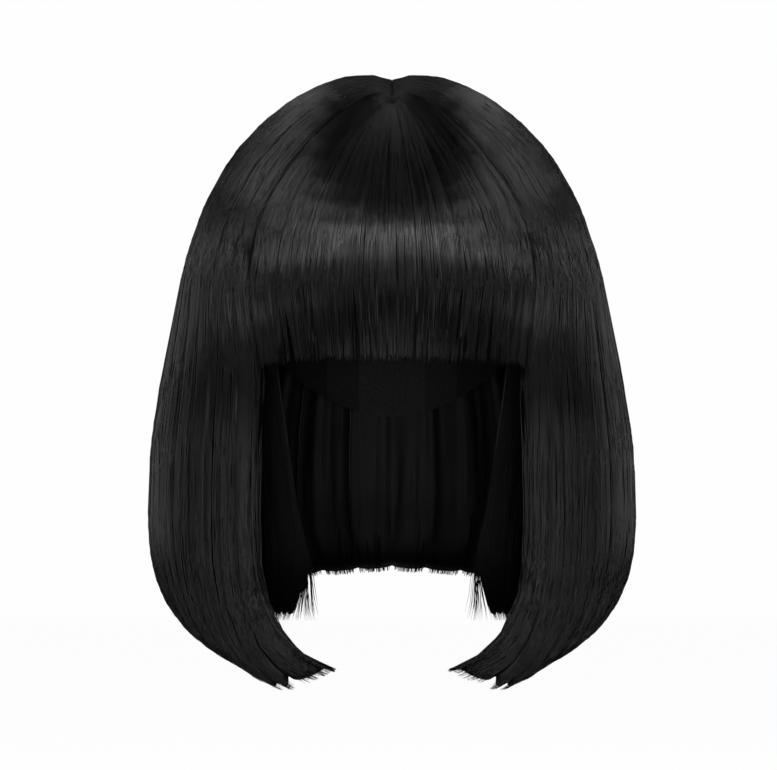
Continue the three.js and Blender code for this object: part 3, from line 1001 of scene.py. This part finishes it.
@dataclass(frozen=True)
class PartingBase:
    """Thin woven base of the parting, with the sparse hair knotted through it: its own dark brown speckle,
    darkened further as painted shade of the narrow parting.
    """

    name: str = "woven_parting_base_and_painted_shade"
    # Both speckle colours are darkened past the base's own brown: painted shade of the narrow parting.
    low: str = "#0b0908"
    high: str = "#1c1714"
    knot_mm: float = 0.9
    roughness: float = 0.9
    specular: float = 0.08

    def material(self) -> bpy.types.Material:
        """Make the material, speckled by the knots."""
        made = bpy.data.materials.new(self.name)
        made.use_nodes = True
        tree = made.node_tree
        shader = tree.nodes["Principled BSDF"]
        place = add_node(tree, "ShaderNodeTexCoord")
        speckle = add_node(
            tree,
            "ShaderNodeTexNoise",
            {"Vector": place.outputs["Object"], "Scale": 1 / (self.knot_mm * MM), "Detail": 3.0},
        )
        tint = add_node(tree, "ShaderNodeValToRGB", {"Fac": speckle.outputs["Fac"]})
        tint.color_ramp.elements[0].position = 0.35
        tint.color_ramp.elements[0].color = linear_colour(self.low)
        tint.color_ramp.elements[1].position = 0.65
        tint.color_ramp.elements[1].color = linear_colour(self.high)
        bump = add_node(
            tree, "ShaderNodeBump", {"Height": speckle.outputs["Fac"], "Distance": 0.1 * MM, "Strength": 0.5}
        )
        tree.links.new(tint.outputs["Color"], shader.inputs["Base Color"])
        tree.links.new(bump.outputs["Normal"], shader.inputs["Normal"])
        shader.inputs["Roughness"].default_value = self.roughness
        shader.inputs["Specular IOR Level"].default_value = self.specular
        return made


def dress(piece: bpy.types.Object, materials: Sequence[bpy.types.Material], node: str) -> None:
    """Give a finished piece its materials and body, hide the imported node that it stands for, and log its
    triangles.
    """
    for material in materials:
        piece.data.materials.append(material)
    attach(piece, "root")
    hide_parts(node)
    triangles = sum(len(face.vertices) - 2 for face in piece.data.polygons)
    LOG.info("%s: %d triangles for %s", piece.name, triangles, node)


@dataclass
class Hair:
    """The fringe, the two sides, the back and the two inner layers."""

    form: HairForm
    fibre: SyntheticFibre = SyntheticFibre()
    # A darker copy of the fibre for the inner layers and the bodies' inside faces: its darker colour is
    # painted shade, standing for the shade under the outer hair.
    shaded_fibre: SyntheticFibre = SyntheticFibre(
        name="modacrylic_fibre_inside_painted_shade", dark="#030303", light="#080808", roughness=0.5, rougher=0.6, ior=1.3
    )
    under_fibre: SyntheticFibre = SyntheticFibre(
        name="modacrylic_fibre_under", dark="#040405", light="#0b0b0b", roughness=0.38, rougher=0.48, ior=1.35
    )
    body_sink: float = 0.7 * MM

    def build(self) -> None:
        """Build and dress every piece of hair."""
        self.fringe()
        for is_right in (False, True):
            self.side(is_right)
            self.inner_layer(is_right)
        self.back()

    def lay(
        self, panel: Panel, plan: StrandPlan, columns: int, rows: int, end: Curve, slot: str = "hair"
    ) -> None:
        """Build and dress a panel's body and strands.

        Args:
            panel: The panel.
            plan: How its strands are laid.
            columns: The body's faces across.
            rows: The body's faces along.
            end: Where the body ends along the strands, as a function of across.
            slot: "inner_hair" for an inner layer, whose strands and body take only the darker fibre; anything
                else gives the glossy fibre outside.
        """
        length = plan.length_mm * MM
        is_inner = slot == "inner_hair"
        # Inner layers take the darker copy, whose colour is painted shade.
        outside = self.shaded_fibre if is_inner else self.fibre
        under = self.shaded_fibre if is_inner else self.under_fibre
        body = build_body(f"{panel.node}_body", panel, columns, rows, end, self.body_sink)
        # The body's inside faces take the second material, the darker copy whose colour is painted shade.
        finishes = [fibre.material(panel.span, length) for fibre in (under, self.shaded_fibre)]
        dress(body, finishes, panel.node)
        strands = StrandField(panel, plan).build(f"{panel.node}_strands")
        dress(strands, [outside.material(panel.span, length)], panel.node)

    def fringe(self) -> None:
        """Build the fringe, whose body stops at the gaps in the hem."""
        panel = FringePanel(self.form)
        plan = StrandPlan(
            count=1500,
            stations=FRINGE_STATIONS,
            seed=101,
            ragged=0.004,
            length_mm=165,
            gaps=FRINGE_GAPS,
            locks=FRINGE_LOCKS,
            gather=0.06,
            wander_mm=0.2,
        )

        def end(across: np.ndarray) -> np.ndarray:
            """Stop just above the hem, and higher at the gaps."""
            cut = 2.5 + 0.8 * np.sin(71 * across) + 0.6 * np.sin(163 * across + 1)
            for gap in FRINGE_GAPS:
                away = np.abs(across - gap.place) * panel.span / MM
                cut = np.maximum(cut, (gap.depth_mm + 3) * np.clip(1.3 - away / (gap.width_mm + 0.6), 0, 1))
            return 1 - cut / plan.length_mm

        self.lay(panel, plan, columns=220, rows=36, end=end)

    def side(self, is_right: bool) -> None:
        """Build one side of the hair."""
        panel = SidePanel(self.form, is_right)
        plan = StrandPlan(
            count=1330,
            stations=HANGING_STATIONS,
            seed=211 if is_right else 223,
            front_bias=1.35,
            ragged=0.009,
            tip_thinning=0.75,
            gather=0.4,
            notch=0.014,
            notch_fade=0.8,
            seam_reach=(0.0, 0.012),
            locks=SIDE_LOCKS,
            edge_share=0.07,
        )

        def end(across: np.ndarray) -> np.ndarray:
            """Stop a little short of the strands, further back between the locks."""
            return 0.986 - 1.2 * plan.hem_notch(across)

        self.lay(panel, plan, columns=150, rows=56, end=end)

    def back(self) -> None:
        """Build the hair behind."""
        panel = BackPanel(self.form)
        plan = StrandPlan(
            count=1310,
            stations=HANGING_STATIONS,
            seed=307,
            locks=BACK_LOCKS,
            length_mm=290,
            ragged=0.004,
            gather=0.15,
            notch=0.003,
            seam_reach=(0.008, 0.008),
        )

        def end(across: np.ndarray) -> np.ndarray:
            """Stop a little short of the strands, further back between the locks."""
            return 0.991 - plan.hem_notch(across)

        self.lay(panel, plan, columns=170, rows=54, end=end)

    def inner_layer(self, is_right: bool) -> None:
        """Build one inner side layer, with a few wisps at its front edge."""
        panel = InnerPanel(self.form, is_right)
        plan = StrandPlan(
            count=560,
            stations=EVEN_STATIONS,
            seed=401 if is_right else 409,
            front_bias=1.3,
            ragged=0.03,
            half_width_mm=0.2,
            half_thick_mm=0.14,
            tip_thinning=0.8,
            edge_share=0.07,
            wisp_share=0.35,
            length_mm=175,
            wander_mm=0.8,
            is_rooted=False,
        )

        def end(across: np.ndarray) -> np.ndarray:
            """Stop a little short of the strands, unevenly."""
            return 0.955 + 0.01 * np.sin(97 * across)

        self.lay(panel, plan, columns=48, rows=30, end=end, slot="inner_hair")


@dataclass
class Cap:
    """The net cap and the parting strip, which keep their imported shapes."""

    net: StretchNet = StretchNet()
    base: PartingBase = PartingBase()

    def dress_nodes(self, nodes: dict[str, bpy.types.Object]) -> None:
        """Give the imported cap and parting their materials."""
        for name, material in (("cap", self.net.material()), ("parting", self.base.material())):
            nodes[name].data.materials.clear()
            nodes[name].data.materials.append(material)
            LOG.info("%s: packed shape, %s", name, material.name)


@dataclass(frozen=True)
class Softbox:
    """One soft studio light: where it stands, its size and its strength."""

    name: str
    azimuth: float
    elevation: float
    distance: float
    width: float
    height: float
    power: float


class Key(Enum):
    """The studio's soft lights."""

    FRONT = Softbox("front_softbox", 0, 33, 1.6, 1.8, 0.26, 12.7)
    FRONT_FILL = Softbox("front_fill", 0, 18, 1.6, 0.8, 0.4, 1.7)
    LOW_FILL = Softbox("low_fill", 0, -7, 1.6, 0.9, 0.6, 7.4)
    LEFT = Softbox("left_softbox", -105, 8, 1.6, 0.8, 1.0, 3.4)
    RIGHT = Softbox("right_softbox", 105, 8, 1.6, 0.8, 1.0, 3.4)
    LEFT_HIGH = Softbox("left_high_softbox", -85, 45, 1.6, 0.8, 0.4, 1.5)
    RIGHT_HIGH = Softbox("right_high_softbox", 85, 45, 1.6, 0.8, 0.4, 1.5)
    LEFT_RIM = Softbox("left_rim", -120, 58, 1.6, 0.8, 0.4, 2)
    RIGHT_RIM = Softbox("right_rim", 120, 58, 1.6, 0.8, 0.4, 2)
    BACK = Softbox("back_softbox", 180, 10, 1.6, 2.0, 0.3, 9)
    BACK_FILL = Softbox("back_fill", 180, -6, 1.6, 1.2, 0.5, 7)


@dataclass
class Studio:
    """The pale floor, the soft lights and the camera."""

    aim: Vector
    photo_width: int = 777
    photo_height: int = 770
    mm_per_pixel: float = 0.5
    centre_pixel_x: float = 392
    top_pixel_y: float = 75
    camera_distance: float = 4.5
    sensor_width_mm: float = 36
    floor_drop: float = 0.12
    floor_radius: float = 6.0
    floor_glow: float = 0.972
    dim_light: float = 0.022
    white_light: float = 0.99

    def floor(self, lowest: float) -> None:
        """Make the floor, a pale disc a little below the wig."""
        bm = bmesh.new()
        bmesh.ops.create_circle(bm, cap_ends=True, segments=64, radius=self.floor_radius)
        bmesh.ops.translate(bm, verts=bm.verts, vec=(0, 0, lowest - self.floor_drop))
        mesh = bpy.data.meshes.new("studio_floor")
        bm.to_mesh(mesh)
        bm.free()
        floor = bpy.data.objects.new("studio_floor", mesh)
        bpy.context.scene.collection.objects.link(floor)
        made = bpy.data.materials.new("pale_paper_sweep")
        made.use_nodes = True
        shader = made.node_tree.nodes["Principled BSDF"]
        shader.inputs["Base Color"].default_value = linear_colour("#5a5a5a")
        shader.inputs["Roughness"].default_value = 0.9
        shader.inputs["Emission Color"].default_value = linear_colour("#ffffff")
        shader.inputs["Emission Strength"].default_value = self.floor_glow
        mesh.materials.append(made)
        floor.visible_glossy = False
        floor.visible_diffuse = False
        floor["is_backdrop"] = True

    def light(self, box: Softbox) -> None:
        """Set up one softbox, which faces the wig."""
        data = bpy.data.lights.new(box.name, "AREA")
        data.shape = "RECTANGLE"
        data.size, data.size_y, data.energy = box.width, box.height, box.power
        lamp = bpy.data.objects.new(box.name, data)
        azimuth, elevation = math.radians(box.azimuth), math.radians(box.elevation)
        way = Vector(
            (
                math.sin(azimuth) * math.cos(elevation),
                -math.cos(azimuth) * math.cos(elevation),
                math.sin(elevation),
            )
        )
        lamp.location = self.aim + way * box.distance
        lamp.rotation_euler = (-way).to_track_quat("-Z", "Y").to_euler()
        bpy.context.scene.collection.objects.link(lamp)

    def world(self) -> None:
        """Make the surroundings white to look at and dim to be lit by."""
        world = bpy.data.worlds.new("white_studio")
        world.use_nodes = True
        tree = world.node_tree
        path = add_node(tree, "ShaderNodeLightPath")
        strength = add_node(
            tree,
            "ShaderNodeMapRange",
            {"Value": path.outputs["Is Camera Ray"], "To Min": self.dim_light, "To Max": self.white_light},
        )
        backdrop = tree.nodes["Background"]
        backdrop.inputs["Color"].default_value = (1, 1, 1, 1)
        tree.links.new(strength.outputs["Result"], backdrop.inputs["Strength"])
        bpy.context.scene.world = world

    def camera(self, top: float) -> None:
        """Place the camera level in front, framed as the photograph is."""
        data = bpy.data.cameras.new("studio_camera")
        width = self.photo_width * self.mm_per_pixel * MM
        data.sensor_width = self.sensor_width_mm
        data.lens = self.sensor_width_mm * self.camera_distance / width
        data.clip_end = 100
        camera = bpy.data.objects.new("studio_camera", data)
        across = (self.photo_width / 2 - self.centre_pixel_x) * self.mm_per_pixel * MM
        down = (self.photo_height / 2 - self.top_pixel_y) * self.mm_per_pixel * MM
        camera.location = (across, -self.camera_distance, top - down)
        camera.rotation_euler = (math.radians(90), 0, 0)
        bpy.context.scene.collection.objects.link(camera)
        bpy.context.scene.camera = camera

    def build(self, low: Sequence[float], high: Sequence[float]) -> None:
        """Set the stage.

        Args:
            low: The wig's lowest corner.
            high: The wig's highest corner.
        """
        bpy.context.scene.view_settings.view_transform = "Standard"
        self.camera(high[2])
        self.floor(low[2])
        self.world()
        for key in Key:
            self.light(key.value)


def main() -> None:
    """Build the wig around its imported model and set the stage."""
    logging.basicConfig(level=logging.INFO, format="%(name)s %(message)s")
    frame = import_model()
    low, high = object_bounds()
    Studio(aim=(Vector(low) + Vector(high)) / 2).build(low, high)
    Cap().dress_nodes(frame["nodes"])
    Hair(form=HairForm()).build()
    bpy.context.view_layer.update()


if __name__ == "__main__":
    main()
